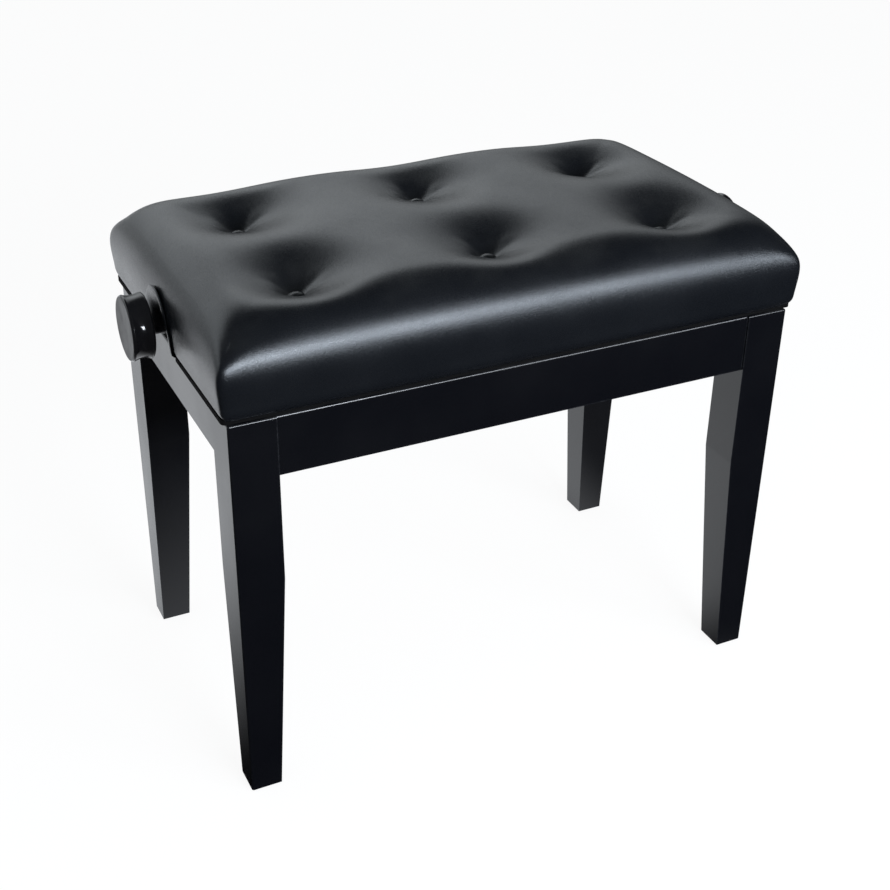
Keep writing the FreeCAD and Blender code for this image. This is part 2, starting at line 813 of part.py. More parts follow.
def seat_board():
    body = box(-frame_x, frame_x, -frame_y, frame_y, rail_top, board_top)
    upright = edges_at(body, lambda e: lies_on(e, "X", e.BoundBox.XMin) and lies_on(e, "Y", e.BoundBox.YMin))
    body = body.makeFillet(board_corner, upright)
    body = body.cut(group(board_screws(glue_gap)))
    for x, y in button_places():
        body = body.cut(rod(tie_radius + tie_gap, (x, y, rail_top - overcut), (x, y, board_top + overcut)))
    for name, side in front_back:
        for x, y in upper_screw_places():
            tip = rail_top + board_thickness - board_screw_skin + glue_gap
            body = body.cut(rod(wood_screw_radius + glue_gap, (x, side * y, rail_top), (x, side * y, tip)))
    return body


def button_base(x, y):
    """The button's flat underside meets the hollow at its own rim."""
    radius = (dimple_radius ** 2 + dimple_depth ** 2) / (2 * dimple_depth)
    rise = radius - math.sqrt(radius ** 2 - button_radius ** 2)
    return crown_height(x, y) - dimple_depth + rise + button_seat_gap


def seat_buttons():
    """Leather-covered domes, pulled down into the dimples."""
    buttons = []
    for x, y in button_places():
        z = button_base(x, y)
        sphere_radius = (button_radius ** 2 + button_height ** 2) / (2 * button_height)
        rim_top = z + button_rim
        centre = FreeCAD.Vector(x, y, rim_top + button_height - sphere_radius)
        dome = Part.makeSphere(sphere_radius, centre)
        body = dome.common(rod(button_radius, (x, y, rim_top), (x, y, rim_top + button_height + overcut)))
        buttons.append(body.fuse(rod(button_radius, (x, y, z), (x, y, rim_top))).removeSplitter())
    return buttons


def button_ties():
    """Taut twine from each button down through the foam and the board."""
    ties = []
    for x, y in button_places():
        ties.append(rod(tie_radius, (x, y, rail_top - toggle_thickness), (x, y, button_base(x, y))))
    return ties


def button_toggles():
    toggles = []
    for x, y in button_places():
        low = rail_top - toggle_thickness
        disc = rod(toggle_radius, (x, y, low), (x, y, rail_top))
        toggles.append(disc.cut(rod(tie_radius + toggle_hole_gap, (x, y, low), (x, y, rail_top))))
    return toggles


def bored(rails):
    return rails.cut(group(board_screws(glue_gap)))


# ---- build every piece ----
for y_name, y_side in front_back:
    for x_name, x_side in left_right:
        save(leg(x_side, y_side), "leg_" + y_name + "_" + x_name)
        save(corner_block(x_side, y_side), "corner_block_" + y_name + "_" + x_name)
        save(arm(x_side, y_side, arm_a_y, lower_pivot_z, upper_pivot_z), "arm_a_" + x_name + "_" + y_name)
        save(arm(x_side, y_side, arm_b_y, upper_pivot_z, lower_pivot_z), "arm_b_" + x_name + "_" + y_name)
    save(drilled_apron(y_side), "apron_" + y_name)
    save(cleat(y_side), "cleat_" + y_name)
    save(lower_rail(y_side), "lower_rail_" + y_name)
    save(upper_rail(y_side), "upper_rail_" + y_name)
    save(bored(long_seat_rail(y_side)), "seat_rail_" + y_name)

for x_name, x_side in left_right:
    save(short_apron(x_side), "apron_" + x_name)
    save(bored(short_seat_rail(x_side)), "seat_rail_" + x_name)
    save(group(sliding_pins_a(x_side)), "sliding_pins_a_" + x_name)
    save(group(sliding_pins_b(x_side)), "sliding_pins_b_" + x_name)
    save(crossbar(x_side), "crossbar_" + x_name)
    save(group(crossbar_clips(x_side)), "crossbar_clips_" + x_name)
    save(knob(x_side), "knob_" + x_name)

save(group(dowels()), "apron_dowels")
save(group(corner_bolts()), "corner_bolts")
save(group(foot_glides()), "foot_glides")
save(group(rest_pads()), "rest_pads")
save(group(cleat_screws()), "cleat_screws")
save(group(lower_rail_screws()), "lower_rail_screws")
save(group(lower_pivot_pins()), "lower_pivot_pins")
save(group(upper_pivot_pins()), "upper_pivot_pins")
save(group(upper_rail_screws()), "upper_rail_screws")
save(stop_tube(), "stop_tube")
save(spindle(), "spindle")
save(group([grub_screw(side) for name, side in left_right]), "knob_grub_screws")
save(seat_board(), "seat_board")
save(group(board_screws()), "board_screws")
save(padding_strips(), "side_padding")
save(foam_pad(), "foam_pad")
save(leather_cover(), "leather_cover")
save(group(seat_buttons()), "seat_buttons")
save(group(button_ties()), "button_ties")
save(group(button_toggles()), "button_toggles")
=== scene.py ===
import math

import bmesh
import bpy
import numpy as np
from mathutils import Matrix, Vector


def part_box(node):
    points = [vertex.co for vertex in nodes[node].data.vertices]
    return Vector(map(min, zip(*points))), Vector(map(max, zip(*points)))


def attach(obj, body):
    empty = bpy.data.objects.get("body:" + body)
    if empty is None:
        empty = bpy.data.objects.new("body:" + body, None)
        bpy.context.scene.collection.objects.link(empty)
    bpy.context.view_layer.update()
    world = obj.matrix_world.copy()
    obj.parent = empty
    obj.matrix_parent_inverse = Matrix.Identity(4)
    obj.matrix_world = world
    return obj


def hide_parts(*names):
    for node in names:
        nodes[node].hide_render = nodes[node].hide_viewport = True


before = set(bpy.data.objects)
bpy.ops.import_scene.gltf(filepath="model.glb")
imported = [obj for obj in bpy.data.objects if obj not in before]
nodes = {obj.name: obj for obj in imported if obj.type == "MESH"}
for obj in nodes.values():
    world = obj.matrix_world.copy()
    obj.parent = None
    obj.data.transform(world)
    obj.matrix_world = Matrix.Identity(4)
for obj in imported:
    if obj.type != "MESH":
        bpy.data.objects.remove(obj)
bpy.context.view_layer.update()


# ---- Legs and aprons ----
# Hardwood legs, square at the top and tapered on their two inner faces, with aprons dowelled
# between them. All are sprayed with the same satin black lacquer, which takes a little dust on its flat
# tops. A hair-thin lighter line is painted on the arrises: partly rubbed lacquer, partly a painted highlight.
def add(tree, kind, settings=None, inputs=None):
    """One shader node, with its settings, and its inputs given as values or as other nodes' sockets."""
    node = tree.nodes.new(kind)
    for key, value in (settings or {}).items():
        setattr(node, key, value)
    for key, value in (inputs or {}).items():
        if isinstance(value, bpy.types.NodeSocket):
            tree.links.new(value, node.inputs[key])
        else:
            node.inputs[key].default_value = value
    return node


def maths(tree, operation, a, b=0.0):
    return add(tree, "ShaderNodeMath", {"operation": operation}, {0: a, 1: b}).outputs[0]


def remap(tree, value, low, high, to_low, to_high, smooth=True):
    kind = "SMOOTHSTEP" if smooth else "LINEAR"
    ends = {"From Min": low, "From Max": high, "To Min": to_low, "To Max": to_high, "Value": value}
    return add(tree, "ShaderNodeMapRange", {"interpolation_type": kind}, ends).outputs["Result"]


def noise(tree, place, scale, detail):
    ends = {"Vector": place, "Scale": scale, "Detail": detail}
    return add(tree, "ShaderNodeTexNoise", None, ends).outputs[0]


def mix_colour(tree, factor, a, b):
    node = tree.nodes.new("ShaderNodeMix")
    node.data_type = "RGBA"
    for socket, value in ((node.inputs[0], factor), (node.inputs[6], a), (node.inputs[7], b)):
        if isinstance(value, bpy.types.NodeSocket):
            tree.links.new(value, socket)
        else:
            socket.default_value = value
    return node.outputs[2]


def effect(name, inputs, outputs):
    """An empty node group with named inputs (label, kind, default) and outputs (label, kind)."""
    tree = bpy.data.node_groups.new(name, "ShaderNodeTree")
    for label, kind, default in inputs:
        socket = tree.interface.new_socket(label, in_out="INPUT", socket_type="NodeSocket" + kind)
        if default is not None:
            socket.default_value = default
    for label, kind in outputs:
        tree.interface.new_socket(label, in_out="OUTPUT", socket_type="NodeSocket" + kind)
    return tree, add(tree, "NodeGroupInput"), add(tree, "NodeGroupOutput")


def place_effect(tree, group, **inputs):
    node = add(tree, "ShaderNodeGroup", {"node_tree": group})
    for label, value in inputs.items():
        key = label.replace("_", " ")
        if isinstance(value, bpy.types.NodeSocket):
            tree.links.new(value, node.inputs[key])
        else:
            node.inputs[key].default_value = value
    return node.outputs


def new_material(name):
    """A node material with its Principled shader and output; returns material, tree, shader."""
    material = bpy.data.materials.new(name)
    material.use_nodes = True
    tree = material.node_tree
    tree.nodes.clear()
    shader = add(tree, "ShaderNodeBsdfPrincipled")
    out = add(tree, "ShaderNodeOutputMaterial")
    tree.links.new(shader.outputs[0], out.inputs[0])
    return material, tree, shader


def link(tree, socket, shader, name):
    tree.links.new(socket, shader.inputs[name])


def bump(tree, shader, height, distance, strength=1.0):
    node = add(tree, "ShaderNodeBump", None, {"Height": height, "Distance": distance, "Strength": strength})
    link(tree, node.outputs[0], shader, "Normal")


def object_place(tree, scale=(1, 1, 1), turn=(0, 0, 0)):
    """Object coordinates in metres, stretched and turned for a pattern."""
    place = add(tree, "ShaderNodeTexCoord").outputs["Object"]
    ends = {"Vector": place, "Scale": scale, "Rotation": turn}
    return add(tree, "ShaderNodeMapping", None, ends).outputs[0]


def make_edge_wear_and_highlight():
    """How far the rounded-off normal leans from the true one, broken up by noise: 1 on an arris, 0 on
    a face. It marks edge wear, and on the lacquer it also lightens the arrises as a painted highlight."""
    tree, given, out = effect("Edge_Wear_And_Highlight", [("Vector", "Vector", None), ("Radius", "Float", 0.0015),
                                            ("Break Up", "Float", 300.0)], [("Wear_And_Highlight", "Float")])
    soft = add(tree, "ShaderNodeBevel", {"samples": 4}, {"Radius": given.outputs["Radius"]}).outputs[0]
    true = add(tree, "ShaderNodeNewGeometry").outputs["Normal"]
    lean = add(tree, "ShaderNodeVectorMath", {"operation": "DOT_PRODUCT"}, {0: soft, 1: true})
    edge = remap(tree, maths(tree, "SUBTRACT", 1.0, lean.outputs["Value"]), 0.01, 0.18, 0.0, 1.0)
    spots = noise(tree, given.outputs["Vector"], given.outputs["Break Up"], 3.0)
    worn_and_highlit = maths(tree, "MULTIPLY", edge, remap(tree, spots, 0.35, 0.65, 0.25, 1.0))
    tree.links.new(worn_and_highlit, out.inputs["Wear_And_Highlight"])
    return tree


def make_dust():
    """Dust on faces that look up, gathered in soft patches."""
    tree, given, out = effect("Settled_Dust", [("Vector", "Vector", None), ("Patch", "Float", 30.0)],
                              [("Dust", "Float")])
    normal = add(tree, "ShaderNodeNewGeometry").outputs["Normal"]
    up = add(tree, "ShaderNodeSeparateXYZ", None, {0: normal}).outputs["Z"]
    spots = noise(tree, given.outputs["Vector"], given.outputs["Patch"], 6.0)
    patch = remap(tree, spots, 0.35, 0.75, 0.0, 1.0)
    tree.links.new(maths(tree, "MULTIPLY", remap(tree, up, 0.5, 1.0, 0.0, 1.0), patch), out.inputs["Dust"])
    return tree


def make_spray_film():
    """Orange peel of a sprayed film: two sizes of soft noise, as a height, a tone and a roughness shift."""
    tree, given, out = effect("Spray_Film", [("Vector", "Vector", None), ("Peel", "Float", 420.0),
                                             ("Haze", "Float", 14.0)],
                              [("Height", "Float"), ("Haze", "Float")])
    place = given.outputs["Vector"]
    tree.links.new(noise(tree, place, given.outputs["Peel"], 2.0), out.inputs["Height"])
    tree.links.new(noise(tree, place, given.outputs["Haze"], 5.0), out.inputs["Haze"])
    return tree


edge_wear_and_highlight = make_edge_wear_and_highlight()
settled_dust = make_dust()
spray_film = make_spray_film()


def satin_black_lacquer():
    material, tree, shader = new_material("satin_black_lacquer")
    place = object_place(tree)
    film = place_effect(tree, spray_film, Vector=place, Peel=380.0, Haze=11.0)
    wear_and_highlight = place_effect(tree, edge_wear_and_highlight, Vector=place, Radius=0.0022, Break_Up=160.0)["Wear_And_Highlight"]
    dust = place_effect(tree, settled_dust, Vector=place, Patch=45.0)["Dust"]
    colour = mix_colour(tree, film["Haze"], (0.0018, 0.0020, 0.0032, 1), (0.0034, 0.0037, 0.0052, 1))
    # Painted highlight and wear: the arrises are lightened towards a bluish grey, partly rubbed lacquer and
    # partly the reflection line along each arris.
    colour = mix_colour(tree, maths(tree, "MULTIPLY", wear_and_highlight, 0.55), colour, (0.035, 0.037, 0.042, 1))
    colour = mix_colour(tree, maths(tree, "MULTIPLY", dust, 0.10), colour, (0.16, 0.16, 0.155, 1))
    link(tree, colour, shader, "Base Color")
    rough = remap(tree, film["Haze"], 0.3, 0.7, 0.20, 0.27)
    rough = maths(tree, "ADD", rough, maths(tree, "MULTIPLY", dust, 0.08))
    link(tree, rough, shader, "Roughness")
    bump(tree, shader, film["Height"], 0.00002, 0.6)
    return material


lacquer = satin_black_lacquer()


def wear_material(material, *names):
    """Gives the named hard pieces this finish, in place of their plain one."""
    for name in names:
        data = nodes[name].data
        data.materials.clear()
        data.materials.append(material)


wear_material(lacquer, *[name for name in nodes if name.startswith("leg_")])
wear_material(lacquer, "apron_front", "apron_back", "apron_left", "apron_right")


# ---- Corner blocks, cleats, dowels and seat rails ----
# Planed pine left bare, because none of it shows when the bench stands. Blocks are glued and
# bolted across the corners, cleats carry the lift, and the rails make the seat's frame.
def make_wood_grain():
    """Growth rings: a wave across the board bent by long slow noise, with short dark pores along
    the grain."""
    tree, given, out = effect("Wood_Grain", [("Vector", "Vector", None), ("Rings", "Float", 90.0),
                                             ("Light", "Color", (0.6, 0.42, 0.25, 1)),
                                             ("Dark", "Color", (0.4, 0.25, 0.13, 1))],
                              [("Color", "Color"), ("Height", "Float")])
    place = given.outputs["Vector"]
    wave = add(tree, "ShaderNodeTexWave", {"wave_type": "BANDS", "bands_direction": "Y"},
               {"Vector": place, "Scale": given.outputs["Rings"], "Distortion": 7.0, "Detail": 3.0,
                "Detail Scale": 0.6})
    pores = noise(tree, place, 900.0, 2.0)
    pore = remap(tree, pores, 0.28, 0.42, 1.0, 0.0)
    grain = mix_colour(tree, wave.outputs["Fac"], given.outputs["Light"], given.outputs["Dark"])
    grain = mix_colour(tree, maths(tree, "MULTIPLY", pore, 0.45), grain, (0.2, 0.12, 0.06, 1))
    tree.links.new(grain, out.inputs["Color"])
    tree.links.new(maths(tree, "SUBTRACT", wave.outputs["Fac"], pore), out.inputs["Height"])
    return tree


wood_grain = make_wood_grain()


def bare_wood(name, turn, rings, light, dark):
    """Bare wood whose grain runs along X before it is turned; the stretch makes the figure long."""
    material, tree, shader = new_material(name)
    place = object_place(tree, (0.06, 1.0, 1.0), turn)
    grain = place_effect(tree, wood_grain, Vector=place, Rings=rings, Light=light, Dark=dark)
    link(tree, grain["Color"], shader, "Base Color")
    shader.inputs["Roughness"].default_value = 0.72
    bump(tree, shader, grain["Height"], 0.00008, 0.5)
    return material


quarter_turn = (0, 0, math.radians(90))
eighth_turn = (0, 0, math.radians(45))
pine = ((0.62, 0.44, 0.25, 1), (0.45, 0.28, 0.13, 1))
pine_long = bare_wood("bare_pine_long", (0, 0, 0), 26.0, *pine)
pine_short = bare_wood("bare_pine_short", quarter_turn, 26.0, *pine)
pine_block = bare_wood("bare_pine_block", eighth_turn, 34.0, *pine)
wear_material(pine_long, "cleat_front", "cleat_back", "seat_rail_front", "seat_rail_back", "apron_dowels")
wear_material(pine_short, "seat_rail_left", "seat_rail_right")
wear_material(pine_block, *[name for name in nodes if name.startswith("corner_block")])


# ---- Seat board ----
# Nine-millimetre birch plywood, sanded and glued and screwed to the rails. Its edge shows the
# plies as thin dark lines; the face has the wide open figure of rotary-cut veneer.
def birch_plywood():
    material, tree, shader = new_material("birch_plywood")
    place = object_place(tree, (0.08, 1.0, 1.0))
    grain = place_effect(tree, wood_grain, Vector=place, Rings=9.0, Light=(0.66, 0.5, 0.31, 1),
                         Dark=(0.56, 0.39, 0.22, 1))
    height = add(tree, "ShaderNodeSeparateXYZ", None, {0: object_place(tree)}).outputs["Z"]
    ply = maths(tree, "PINGPONG", height, 0.0018)
    line = remap(tree, ply, 0.0, 0.00035, 1.0, 0.0)
    normal = add(tree, "ShaderNodeNewGeometry").outputs["Normal"]
    up = maths(tree, "ABSOLUTE", add(tree, "ShaderNodeSeparateXYZ", None, {0: normal}).outputs["Z"])
    on_edge = remap(tree, up, 0.3, 0.6, 1.0, 0.0)
    dark = maths(tree, "MULTIPLY", maths(tree, "MULTIPLY", line, on_edge), 0.7)
    link(tree, mix_colour(tree, dark, grain["Color"], (0.22, 0.13, 0.07, 1)), shader, "Base Color")
    shader.inputs["Roughness"].default_value = 0.65
    bump(tree, shader, grain["Height"], 0.00005, 0.4)
    return material


wear_material(birch_plywood(), "seat_board")


# ---- Lift rails and arms ----
# Pressed steel angle and flat bar, powder-coated black. The coating has a fine pebble, and it
# rubs to a duller grey where the arms turn on their pins and along the sheared edges.
def black_powder_coat():
    material, tree, shader = new_material("black_powder_coat")
    place = object_place(tree)
    film = place_effect(tree, spray_film, Vector=place, Peel=1400.0, Haze=35.0)
    wear_and_highlight = place_effect(tree, edge_wear_and_highlight, Vector=place, Radius=0.0008, Break_Up=500.0)["Wear_And_Highlight"]
    rubbed = remap(tree, wear_and_highlight, 0.45, 0.9, 0.0, 0.8)
    colour = mix_colour(tree, film["Haze"], (0.014, 0.014, 0.015, 1), (0.024, 0.024, 0.026, 1))
    link(tree, mix_colour(tree, rubbed, colour, (0.30, 0.29, 0.28, 1)), shader, "Base Color")
    link(tree, rubbed, shader, "Metallic")
    link(tree, remap(tree, film["Haze"], 0.3, 0.7, 0.42, 0.56), shader, "Roughness")
    bump(tree, shader, film["Height"], 0.00006, 0.8)
    return material


powder_coat = black_powder_coat()
wear_material(powder_coat, "lower_rail_front", "lower_rail_back", "upper_rail_front", "upper_rail_back")
wear_material(powder_coat, *[name for name in nodes if name.startswith("arm_")])


# ---- Pins, crossbars, bolts and screws ----
# Turned and cold-headed steel with bright zinc plating. The plating has a faint spangle and a
# yellow to blue cast, and dulls where dust and old oil sit.
def bright_zinc():
    material, tree, shader = new_material("bright_zinc")
    place = object_place(tree)
    cells = add(tree, "ShaderNodeTexVoronoi", None, {"Vector": place, "Scale": 420.0}).outputs["Distance"]
    haze = noise(tree, place, 60.0, 5.0)
    wear_and_highlight = place_effect(tree, edge_wear_and_highlight, Vector=place, Radius=0.0006, Break_Up=700.0)["Wear_And_Highlight"]
    colour = mix_colour(tree, haze, (0.60, 0.59, 0.55, 1), (0.50, 0.52, 0.55, 1))
    colour = mix_colour(tree, maths(tree, "MULTIPLY", cells, 0.35), colour, (0.72, 0.70, 0.62, 1))
    colour = mix_colour(tree, maths(tree, "MULTIPLY", wear_and_highlight, 0.5), colour, (0.8, 0.79, 0.77, 1))
    link(tree, colour, shader, "Base Color")
    shader.inputs["Metallic"].default_value = 1.0
    link(tree, remap(tree, haze, 0.3, 0.7, 0.24, 0.42), shader, "Roughness")
    bump(tree, shader, cells, 0.00003, 0.35)
    return material


zinc = bright_zinc()
wear_material(zinc, "corner_bolts", "lower_pivot_pins", "upper_pivot_pins", "crossbar_left", "crossbar_right",
              "crossbar_clips_left", "crossbar_clips_right", "sliding_pins_a_left", "sliding_pins_a_right",
              "sliding_pins_b_left", "sliding_pins_b_right", "cleat_screws", "lower_rail_screws",
              "upper_rail_screws", "board_screws", "knob_grub_screws", "stop_tube")


# ---- Spindle ----
# Twelve-millimetre steel rod with a coarse rolled thread, right-handed on one half and left-handed
# on the other, and plain in the middle where the stop tube sits. It is lightly greased.
spindle_low, spindle_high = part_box("spindle")
spindle_z = (spindle_low[2] + spindle_high[2]) / 2
crossbar_low, crossbar_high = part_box("crossbar_right")
thread_start = crossbar_low[0] - 0.012
thread_end = crossbar_high[0] + 0.030
thread_pitch = 0.00175


def greased_thread():
    """Thread flanks as a triangle wave of x over pitch plus the turn about the rod, mirrored at the
    middle."""
    material, tree, shader = new_material("greased_thread")
    place = object_place(tree)
    axes = add(tree, "ShaderNodeSeparateXYZ", None, {0: place}).outputs
    along = maths(tree, "ABSOLUTE", axes["X"])
    angle = maths(tree, "ARCTAN2", axes["Y"], maths(tree, "SUBTRACT", axes["Z"], spindle_z))
    turns = maths(tree, "DIVIDE", angle, 2 * math.pi)
    phase = maths(tree, "ADD", maths(tree, "DIVIDE", along, thread_pitch), turns)
    flank = maths(tree, "PINGPONG", phase, 0.5)
    cut = maths(tree, "MULTIPLY", maths(tree, "GREATER_THAN", along, thread_start),
                maths(tree, "LESS_THAN", along, thread_end))
    height = maths(tree, "MULTIPLY", flank, cut)
    root = maths(tree, "MULTIPLY", maths(tree, "LESS_THAN", flank, 0.16), cut)
    haze = noise(tree, place, 80.0, 4.0)
    colour = mix_colour(tree, haze, (0.42, 0.41, 0.39, 1), (0.55, 0.53, 0.49, 1))
    colour = mix_colour(tree, maths(tree, "MULTIPLY", root, 0.8), colour, (0.06, 0.05, 0.035, 1))
    link(tree, colour, shader, "Base Color")
    shader.inputs["Metallic"].default_value = 1.0
    link(tree, remap(tree, haze, 0.3, 0.7, 0.22, 0.36), shader, "Roughness")
    bump(tree, shader, height, 0.0011, 1.0)
    return material


wear_material(greased_thread(), "spindle")


# ---- Knobs ----
# Turned from solid black acetal and polished: a dished outer face, a waisted rim for the fingers,
# and a neck that reaches in through the seat's end. Handling leaves fine circular scuffs.
def polished_acetal():
    material, tree, shader = new_material("polished_acetal")
    place = object_place(tree)
    axes = add(tree, "ShaderNodeSeparateXYZ", None, {0: place}).outputs
    across = maths(tree, "POWER", axes["Y"], 2.0)
    upright = maths(tree, "POWER", maths(tree, "SUBTRACT", axes["Z"], spindle_z), 2.0)
    radius = maths(tree, "SQRT", maths(tree, "ADD", across, upright))
    ring = add(tree, "ShaderNodeTexNoise", {"noise_dimensions": "1D"},
               {"W": radius, "Scale": 2200.0, "Detail": 3.0}).outputs[0]
    haze = noise(tree, place, 70.0, 5.0)
    wear_and_highlight = place_effect(tree, edge_wear_and_highlight, Vector=place, Radius=0.001, Break_Up=420.0)["Wear_And_Highlight"]
    colour = mix_colour(tree, haze, (0.004, 0.004, 0.005, 1), (0.009, 0.009, 0.010, 1))
    colour = mix_colour(tree, maths(tree, "MULTIPLY", wear_and_highlight, 0.35), colour, (0.05, 0.05, 0.052, 1))
    link(tree, colour, shader, "Base Color")
    normal = add(tree, "ShaderNodeNewGeometry").outputs["Normal"]
    outward = maths(tree, "ABSOLUTE", add(tree, "ShaderNodeSeparateXYZ", None, {0: normal}).outputs["X"])
    turned_face = remap(tree, outward, 0.85, 0.97, 0.0, 0.30)
    polish = remap(tree, haze, 0.3, 0.75, 0.10, 0.20)
    link(tree, maths(tree, "ADD", polish, turned_face), shader, "Roughness")
    bump(tree, shader, ring, 0.000012, 0.5)
    return material


wear_material(polished_acetal(), "knob_left", "knob_right")


# ---- Glides and toggles ----
# Moulded nylon: the glides are nailed into the feet, the toggles hold the button ties under the
# board. The mould leaves a faint matt texture.
def moulded_nylon():
    material, tree, shader = new_material("moulded_nylon")
    place = object_place(tree)
    fine = noise(tree, place, 1500.0, 2.0)
    haze = noise(tree, place, 120.0, 4.0)
    colour = mix_colour(tree, haze, (0.020, 0.020, 0.021, 1), (0.036, 0.036, 0.036, 1))
    link(tree, colour, shader, "Base Color")
    link(tree, remap(tree, haze, 0.3, 0.7, 0.46, 0.6), shader, "Roughness")
    bump(tree, shader, fine, 0.00004, 0.6)
    return material


wear_material(moulded_nylon(), "foot_glides", "button_toggles")


# ---- Felt ----
# Pressed wool felt: round pads on the leg tops that the seat comes down on.
# Loose fibres catch the light at their edges.
def pressed_felt():
    material, tree, shader = new_material("pressed_felt")
    place = object_place(tree)
    fibre = add(tree, "ShaderNodeTexNoise", None, {"Vector": place, "Scale": 1100.0, "Detail": 6.0,
                                                   "Roughness": 0.75}).outputs[0]
    colour = mix_colour(tree, fibre, (0.018, 0.018, 0.019, 1), (0.075, 0.074, 0.072, 1))
    link(tree, colour, shader, "Base Color")
    shader.inputs["Roughness"].default_value = 0.95
    shader.inputs["Sheen Weight"].default_value = 0.3
    bump(tree, shader, fibre, 0.0004, 0.8)
    return material


wear_material(pressed_felt(), "rest_pads")


# ---- Button ties ----
# Waxed upholstery twine, two plies twisted together. Each is drawn tight from a button down
# through the foam and the board to its toggle.
def waxed_twine():
    material, tree, shader = new_material("waxed_twine")
    place = object_place(tree)
    axes = add(tree, "ShaderNodeSeparateXYZ", None, {0: place}).outputs
    rise = maths(tree, "MULTIPLY", axes["Z"], 520.0)
    slant = maths(tree, "ADD", rise, maths(tree, "MULTIPLY", axes["X"], 700.0))
    ply = maths(tree, "PINGPONG", slant, 0.5)
    # Painted shade: the colour darkens into the groove between the two plies, following the same wave as the
    # bump.
    link(tree, mix_colour(tree, ply, (0.30, 0.26, 0.18, 1), (0.62, 0.56, 0.43, 1)), shader, "Base Color")
    shader.inputs["Roughness"].default_value = 0.6
    bump(tree, shader, ply, 0.0003, 0.8)
    return material


wear_material(waxed_twine(), "button_ties")


# ---- Leather ----
# Black upholstery leather with a fine printed pebble and a semi-gloss finish. It is smoother and
# shinier where it is drawn tight, and fine creases run into the buttons.
def make_leather_grain():
    """Pebbles are cells of two sizes with soft creases between them; a slow noise shifts tone and
    gloss."""
    tree, given, out = effect("Leather_Grain", [("Vector", "Vector", None), ("Pebble", "Float", 900.0)],
                              [("Height", "Float"), ("Crease", "Float"), ("Cloud", "Float")])
    place = given.outputs["Vector"]
    bend = add(tree, "ShaderNodeTexNoise", None, {"Vector": place, "Scale": 260.0, "Detail": 3.0})
    shift = add(tree, "ShaderNodeVectorMath", {"operation": "MULTIPLY_ADD"},
                {0: bend.outputs["Color"], 1: (0.0011, 0.0011, 0.0011), 2: place}).outputs[0]
    cell = add(tree, "ShaderNodeTexVoronoi", {"feature": "DISTANCE_TO_EDGE"},
               {"Vector": shift, "Scale": given.outputs["Pebble"]}).outputs["Distance"]
    small_scale = maths(tree, "MULTIPLY", given.outputs["Pebble"], 2.3)
    small = add(tree, "ShaderNodeTexVoronoi", {"feature": "DISTANCE_TO_EDGE"},
                {"Vector": shift, "Scale": small_scale}).outputs["Distance"]
    pebble = remap(tree, cell, 0.0, 0.22, 0.0, 1.0)
    fine = remap(tree, small, 0.0, 0.3, 0.0, 1.0)
    height = maths(tree, "ADD", pebble, maths(tree, "MULTIPLY", fine, 0.35))
    cloud = noise(tree, place, 16.0, 5.0)
    tree.links.new(height, out.inputs["Height"])
    tree.links.new(maths(tree, "SUBTRACT", 1.0, pebble), out.inputs["Crease"])
    tree.links.new(cloud, out.inputs["Cloud"])
    return tree


leather_grain = make_leather_grain()


def black_leather():
    material, tree, shader = new_material("black_leather")
    place = object_place(tree)
    grain = place_effect(tree, leather_grain, Vector=place, Pebble=1150.0)
    dust = place_effect(tree, settled_dust, Vector=place, Patch=18.0)["Dust"]
    colour = mix_colour(tree, grain["Cloud"], (0.0034, 0.0042, 0.0058, 1), (0.0058, 0.0070, 0.0092, 1))
    # Painted shade: the leather is darkened a little in the creases between the pebbles.
    crease = maths(tree, "MULTIPLY", grain["Crease"], 0.35)
    colour = mix_colour(tree, crease, colour, (0.004, 0.004, 0.005, 1))
    colour = mix_colour(tree, maths(tree, "MULTIPLY", dust, 0.05), colour, (0.2, 0.2, 0.19, 1))
    link(tree, colour, shader, "Base Color")
    rough = remap(tree, grain["Cloud"], 0.3, 0.7, 0.20, 0.26)
    rough = maths(tree, "ADD", rough, maths(tree, "MULTIPLY", grain["Crease"], 0.10))
    link(tree, rough, shader, "Roughness")
    shader.inputs["Specular Tint"].default_value = (0.92, 0.96, 1.0, 1)
    bump(tree, shader, grain["Height"], 0.00005, 0.45)
    return material


leather = black_leather()


# ---- Cushion cover ----
# One leather skin over a foam slab on a boarded frame. The sides are drawn straight down and
# turned under the rails; the top is domed, rolls over at its edges, drops at the corners, and
# is pulled down by six buttons, with short pleats running into each.
cover_low, cover_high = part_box("leather_cover")
half_length = cover_high[0]
half_width = cover_high[1]
seat_bottom = cover_low[2]
button_low, button_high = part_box("seat_buttons")
button_radius = 0.009
button_x = button_high[0] - button_radius
button_y = button_high[1] - button_radius
button_centres = [(x, y) for x in (-button_x, 0.0, button_x) for y in (-button_y, button_y)]
skin_x = half_length - 0.0015
skin_y = half_width - 0.0015
block_top = 0.470
voxel = 0.005
crown_top = 0.4902
end_drop = 0.0040
corner_drop = 0.0120
settled_drop = 0.0045
long_side_roll = 0.4370
end_roll = 0.4415
side_top = 0.445
hem_tuck = 0.0060
hem_height = 0.0050
side_bulge = 0.0022
lip_width = 0.022
low_corner = 0.0022
high_corner = 0.0092
funnel_share = 0.30
funnel_reach = 0.0140
bowl_reach = 0.045
tie_slack = 0.0006
pleat_depth = 0.0016
notch_hidden_radius = 0.029
notch_outer_radius = 0.034
pin_levels = 20
cloth_frames = 20
most_top_swell = 0.0040
most_side_swell = 0.0020


def smooth(value, low, high):
    """Smoothstep between low and high, as an array."""
    t = np.clip((value - low) / (high - low), 0.0, 1.0)
    return t * t * (3 - 2 * t)


def mesh_points(mesh):
    points = np.empty(len(mesh.vertices) * 3, np.float32)
    mesh.vertices.foreach_get("co", points)
    return points.reshape(-1, 3).astype(float)


